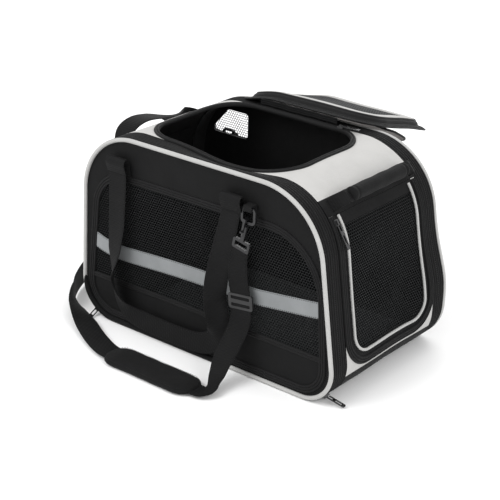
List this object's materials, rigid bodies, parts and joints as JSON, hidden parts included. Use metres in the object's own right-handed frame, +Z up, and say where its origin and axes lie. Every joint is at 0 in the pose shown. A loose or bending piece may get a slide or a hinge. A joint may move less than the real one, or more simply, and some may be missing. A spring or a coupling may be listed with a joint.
{
  "type": "pet carrier bag",
  "caption": "Soft-sided pet carrier bag with mesh windows, a zipped top lid folded open, a zipped end door, carry handles and a detachable shoulder strap.",
  "frame": {"origin": "on the floor under the middle of the bag body", "axes": "+Z up, +X towards the end door, -Y towards the front panel"},
  "size_m": [0.5778, 0.5663, 0.3362],
  "materials": {
    "black_fabric": "matt woven polyester",
    "grey_fabric": "light grey woven polyester",
    "black_mesh": "knitted net with open holes",
    "black_binding": "woven edge binding",
    "zip_tape": "ridged zip tape",
    "grey_piping": "light grey covered piping cord",
    "reflective_tape": "silver reflective tape",
    "webbing": "flat polyester webbing",
    "padded_sleeve": "padded woven cover",
    "board": "stiff base board",
    "fleece": "soft fleece pad",
    "black_metal": "black coated",
    "slider_metal": "dark plated",
    "black_plastic": "moulded, satin"
  },
  "bodies": {
    "root": {"back_d_ring": "black_metal", "back_handle_anchors": "webbing", "back_panel": "black_fabric", "back_piping": "grey_piping", "back_reflective_tape": "reflective_tape", "back_ring_tab": "webbing", "back_snap_hook": "black_metal", "back_swivel_eye": "black_metal", "back_window_net": "black_mesh", "back_zip_band": "zip_tape", "base_board": "board", "bottom_panel": "black_fabric", "door_header": "black_fabric", "floor_pad": "fleece", "front_d_ring": "black_metal", "front_handle_anchors": "webbing", "front_left_slider": "slider_metal", "front_panel": "black_fabric", "front_piping": "grey_piping", "front_reflective_tape": "reflective_tape", "front_right_slider": "slider_metal", "front_ring_tab": "webbing", "front_snap_hook": "black_metal", "front_swivel_eye": "black_metal", "front_window_binding": "black_binding", "front_window_net": "black_mesh", "front_zip_band": "zip_tape", "grab_handle_sleeve": "padded_sleeve", "grab_handle_webbing": "webbing", "hinge_seam": "black_fabric", "left_end_panel": "black_fabric", "left_window_binding": "black_binding", "left_window_net": "black_mesh", "lid_slider": "slider_metal", "opening_rim": "black_binding", "right_end_panel": "grey_fabric", "shoulder_pad": "padded_sleeve", "shoulder_strap_lower": "webbing", "shoulder_strap_rear": "webbing", "shoulder_strap_upper": "webbing", "strap_glide": "black_plastic", "top_panel": "grey_fabric"},
    "lid_hinge_strip": {"lid_strip": "black_fabric"},
    "lid": {"lid_border": "zip_tape", "lid_frame": "grey_fabric", "lid_net": "black_mesh"},
    "shade": {"shade_flap": "grey_fabric", "shade_binding": "black_binding"},
    "end_door": {"door_frame": "zip_tape", "door_net": "black_mesh", "door_piping": "grey_piping", "end_door_slider": "slider_metal"},
    "front_handle": {"front_carry_handle": "webbing"},
    "back_handle": {"back_carry_handle": "webbing"},
    "end_door_pull_tab": {"end_door_pull": "black_plastic"},
    "lid_pull_tab": {"lid_pull": "black_plastic"},
    "front_left_pull_tab": {"front_left_pull": "black_plastic"},
    "front_right_pull_tab": {"front_right_pull": "black_plastic"},
    "front_bolt": {"front_hook_bolt": "black_metal"},
    "back_bolt": {"back_hook_bolt": "black_metal"}
  },
  "joints": [
    {"name": "lid_strip_fold", "type": "hinge", "parent": "root", "child": "lid_hinge_strip", "pos_m": [-0.022, 0.11, 0.3173], "axis": [1, 0, 0], "range_deg": [0, 90]},
    {"name": "lid_fold", "type": "hinge", "parent": "lid_hinge_strip", "child": "lid", "pos_m": [-0.022, 0.11, 0.3293], "axis": [1, 0, 0], "range_deg": [0, 105]},
    {"name": "shade_flap_swing", "type": "hinge", "parent": "lid", "child": "shade", "pos_m": [-0.022, 0.14057, 0.3298], "axis": [1, 0, 0], "range_deg": [0, 15]},
    {"name": "end_door_swing", "type": "hinge", "parent": "root", "child": "end_door", "pos_m": [0.19404, 0, 0.269], "axis": [0, -1, 0], "range_deg": [0, 85]},
    {"name": "front_handle_swing", "type": "hinge", "parent": "root", "child": "front_handle", "pos_m": [-0.05, -0.14875, 0.267], "axis": [-1, 0, 0], "range_deg": [0, 178]},
    {"name": "back_handle_swing", "type": "hinge", "parent": "root", "child": "back_handle", "pos_m": [-0.05, 0.14875, 0.22], "axis": [1, 0, 0], "range_deg": [0, 95]},
    {"name": "end_door_pull_swing", "type": "hinge", "parent": "end_door", "child": "end_door_pull_tab", "pos_m": [0.20575, -0.098, 0.25868], "axis": [0, -1, 0], "range_deg": [0, 95]},
    {"name": "lid_pull_swing", "type": "hinge", "parent": "root", "child": "lid_pull_tab", "pos_m": [0.067, 0.104, 0.3194], "axis": [0, -1, 0], "range_deg": [0, 150]},
    {"name": "front_left_pull_swivel", "type": "hinge", "parent": "root", "child": "front_left_pull_tab", "pos_m": [-0.22338, -0.12881, 0.00954], "axis": [-0.6157, 0, -0.788], "range_deg": [0, 48]},
    {"name": "front_right_pull_swing", "type": "hinge", "parent": "root", "child": "front_right_pull_tab", "pos_m": [0.22156, -0.125, 0.00824], "axis": [0, -1, 0], "range_deg": [0, 44]},
    {"name": "front_hook_bolt_slide", "type": "slide", "parent": "root", "child": "front_bolt", "axis": [-0.2079, 0, -0.9781], "range_m": [0, 0.0045], "stiffness_N_per_m": 60, "springref_m": -0.004},
    {"name": "back_hook_bolt_slide", "type": "slide", "parent": "root", "child": "back_bolt", "axis": [-0.9432, 0.3322, 0], "range_m": [0, 0.0045], "stiffness_N_per_m": 60, "springref_m": -0.004}
  ],
  "couplings": [
    {"joint": "lid_strip_fold", "follows": "lid_fold", "ratio": 0.85714}
  ]
}
